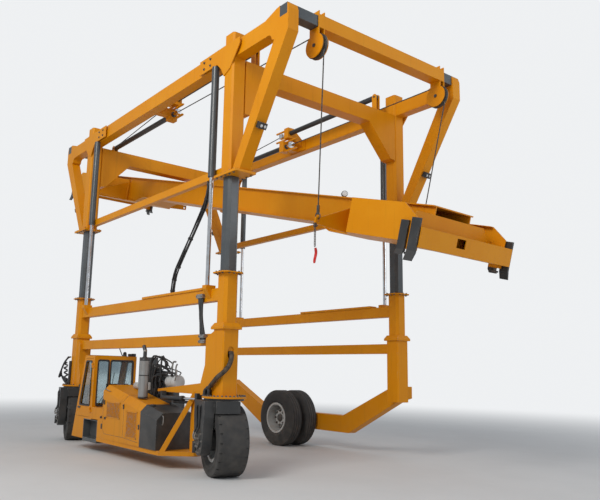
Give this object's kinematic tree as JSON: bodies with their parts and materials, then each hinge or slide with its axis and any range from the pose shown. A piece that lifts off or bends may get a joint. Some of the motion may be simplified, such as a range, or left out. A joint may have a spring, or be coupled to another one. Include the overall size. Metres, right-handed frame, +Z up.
{
  "type": "straddle carrier",
  "caption": "Mobile gantry on one twin and two steered wheels, with telescopic legs, a side cab and engine, and a rope-hung spreader that lifts long boxes by their corners.",
  "frame": {"origin": "on the ground, midway between the four legs", "axes": "+X towards the end where the spreader hangs low, -Y the cab side, +Z up"},
  "size_m": [12.2256, 4.794, 7.185],
  "materials": {
    "yellow_paint": "gloss",
    "dark_paint": "satin",
    "black_paint": "satin",
    "chrome_rod": "polished",
    "pale_paint": "satin",
    "bare_steel": "worn",
    "tyre_rubber": "matte",
    "hose_rubber": "satin",
    "window_glass": "clear",
    "seat_fabric": "matte"
  },
  "bodies": {
    "chassis": {"lower_frame_near": "yellow_paint", "cab_shell": "yellow_paint", "cab_glass": "window_glass", "driver_seat": "seat_fabric", "engine_cover": "yellow_paint", "cab_deck": "yellow_paint", "engine_block": "dark_paint", "exhaust": "pale_paint", "fuel_tank": "black_paint", "cab_steps": "dark_paint"},
    "door": {"cab_door": "yellow_paint", "door_glass": "window_glass"},
    "fork_front": {"fork_front": "black_paint"},
    "wheel_front": {"tyre_front": "tyre_rubber", "rim_front": "pale_paint"},
    "fork_rear": {"fork_rear": "black_paint"},
    "wheel_rear": {"tyre_rear": "tyre_rubber", "rim_rear": "pale_paint"},
    "mid_near": {"mid_frame_near": "yellow_paint", "lift_rods_near": "chrome_rod", "hose_bundle": "hose_rubber"},
    "upper": {"side_frame_near": "yellow_paint", "side_frame_far": "yellow_paint", "cross_beams": "yellow_paint", "leg_columns": "dark_paint", "lift_barrels": "dark_paint", "slide_beams": "dark_paint", "hoist_barrels": "black_paint", "hoist_brackets": "yellow_paint", "work_lamps": "black_paint"},
    "mid_far": {"mid_frame_far": "yellow_paint", "lift_rods_far": "chrome_rod"},
    "low_far": {"lower_frame_far": "yellow_paint"},
    "wheel_far": {"tyre_far": "tyre_rubber", "rim_far": "pale_paint"},
    "hoist_rods_low": {"hoist_rods_low": "chrome_rod"},
    "hoist_rods_high": {"hoist_rods_high": "chrome_rod"},
    "shift_front": {"sleeve_front": "yellow_paint", "ropes_front": "bare_steel"},
    "shift_rear": {"sleeve_rear": "yellow_paint", "ropes_rear": "bare_steel"},
    "sheaves_front": {"sheaves_front": "bare_steel"},
    "sheaves_rear": {"sheaves_rear": "bare_steel"},
    "spreader": {"spreader_beam": "yellow_paint", "spreader_end_front": "yellow_paint", "spreader_end_rear": "yellow_paint", "corner_guides": "black_paint", "twistlocks": "bare_steel", "lift_hooks": "bare_steel"}
  },
  "joints": [
    {"name": "door_hinge", "type": "hinge", "parent": "chassis", "child": "door", "pos_m": [-0.9125, -2.516, 1.2], "axis": [0, 0, 1], "range_deg": [0, 85]},
    {"name": "steer_front", "type": "hinge", "parent": "chassis", "child": "fork_front", "pos_m": [2.92, -1.975, 1.118], "axis": [0, 0, 1], "range_deg": [-74, 106]},
    {"name": "roll_front", "type": "hinge", "parent": "fork_front", "child": "wheel_front", "pos_m": [2.92, -1.975, 0.53], "axis": [0.2756, 0.9613, 0], "continuous": true},
    {"name": "steer_rear", "type": "hinge", "parent": "chassis", "child": "fork_rear", "pos_m": [-2.92, -1.975, 1.118], "axis": [0, 0, 1], "range_deg": [-74, 106]},
    {"name": "roll_rear", "type": "hinge", "parent": "fork_rear", "child": "wheel_rear", "pos_m": [-2.92, -1.975, 0.53], "axis": [0.2756, 0.9613, 0], "continuous": true},
    {"name": "lower_stage", "type": "slide", "parent": "chassis", "child": "mid_near", "axis": [0, 0, 1], "range_m": [-0.35, 0]},
    {"name": "upper_stage", "type": "slide", "parent": "mid_near", "child": "upper", "axis": [0, 0, 1], "range_m": [-0.95, 0], "deforming": ["hose_bundle"]},
    {"name": "upper_stage_far", "type": "slide", "parent": "upper", "child": "mid_far", "axis": [0, 0, 1], "range_m": [0, 0.95]},
    {"name": "lower_stage_far", "type": "slide", "parent": "mid_far", "child": "low_far", "axis": [0, 0, 1], "range_m": [0, 0.35]},
    {"name": "roll_far", "type": "hinge", "parent": "low_far", "child": "wheel_far", "pos_m": [0, 1.69, 0.585], "axis": [0, 1, 0], "continuous": true},
    {"name": "hoist_pull_low", "type": "slide", "parent": "upper", "child": "hoist_rods_low", "axis": [1, 0, 0], "range_m": [0, 1.7]},
    {"name": "hoist_pull_high", "type": "slide", "parent": "upper", "child": "hoist_rods_high", "axis": [1, 0, 0], "range_m": [-1.7, 0]},
    {"name": "side_shift_front", "type": "slide", "parent": "upper", "child": "shift_front", "axis": [0, 1, 0], "range_m": [-0.18, 0.2]},
    {"name": "side_shift_rear", "type": "slide", "parent": "upper", "child": "shift_rear", "axis": [0, 1, 0], "range_m": [-0.18, 0.2]},
    {"name": "sheave_turn_front", "type": "hinge", "parent": "shift_front", "child": "sheaves_front", "pos_m": [4.33, 0.09, 6.6], "axis": [0, 1, 0], "continuous": true},
    {"name": "sheave_turn_rear", "type": "hinge", "parent": "shift_rear", "child": "sheaves_rear", "pos_m": [-4.33, 0.1, 6.6], "axis": [0, 1, 0], "continuous": true},
    {"name": "hoist", "type": "slide", "parent": "shift_front", "child": "spreader", "axis": [0, 0, 1], "range_m": [-1.7, 0], "deforming": ["ropes_front", "ropes_rear"]}
  ],
  "couplings": [
    {"joint": "upper_stage_far", "follows": "upper_stage", "ratio": -1},
    {"joint": "lower_stage_far", "follows": "lower_stage", "ratio": -1},
    {"joint": "hoist_pull_low", "follows": "hoist", "ratio": -1},
    {"joint": "hoist_pull_high", "follows": "hoist", "ratio": 1},
    {"joint": "side_shift_rear", "follows": "side_shift_front", "ratio": 1}
  ]
}
